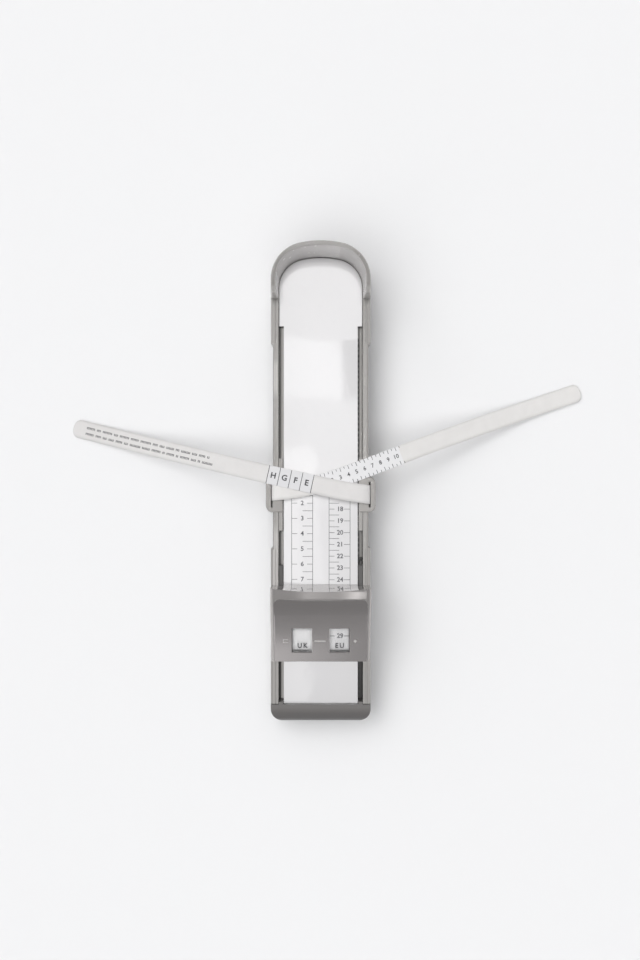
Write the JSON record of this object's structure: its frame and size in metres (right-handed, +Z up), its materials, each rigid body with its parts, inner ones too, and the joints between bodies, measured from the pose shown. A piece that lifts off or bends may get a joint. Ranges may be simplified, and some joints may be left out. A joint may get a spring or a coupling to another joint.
{
  "type": "foot measuring device",
  "caption": "Foot measuring tray with a raised heel cup, a windowed toe slider clicking along guide channels, and a sliding carrier with width tapes.",
  "frame": {"origin": "on the floor under the middle of the tray's length and width", "axes": "+X across the foot to the side of the long number tape's free end, +Y towards the heel cup, +Z up"},
  "size_m": [0.287, 0.2616, 0.0476],
  "materials": {
    "tray": "moulded satin grey",
    "plate": "glossy white, printed scales",
    "end_cap": "moulded satin mid grey",
    "slider": "glossy mid grey",
    "panel": "glossy dark grey",
    "lens": "clear window",
    "runner": "plain grey",
    "bracket": "moulded satin grey",
    "screw": "plain",
    "pad": "matt",
    "tape": "coated white tape"
  },
  "bodies": {
    "base": {"base_tray": "tray", "foot_plate": "plate", "click_rack": "runner", "end_cap": "end_cap", "end_cap_screws": "screw", "foot_pads": "pad"},
    "toe_slider": {"toe_slider_body": "slider", "toe_slider_panel": "panel", "uk_window": "lens", "eu_window": "lens", "left_runner": "runner", "right_runner": "runner", "click_spring": "runner", "runner_screws": "screw"},
    "tape_carrier": {"left_tape_bracket": "bracket", "right_tape_bracket": "bracket", "carrier_bridge": "bracket", "bridge_screws": "screw", "tape_anchors": "runner", "letter_tape": "tape", "number_tape": "tape"}
  },
  "joints": [
    {"name": "toe_slide", "type": "slide", "parent": "base", "child": "toe_slider", "axis": [0, 1, 0], "range_m": [0, 0.0726]},
    {"name": "tape_slide", "type": "slide", "parent": "toe_slider", "child": "tape_carrier", "axis": [0, 1, 0], "range_m": [-0.0189, 0]}
  ]
}
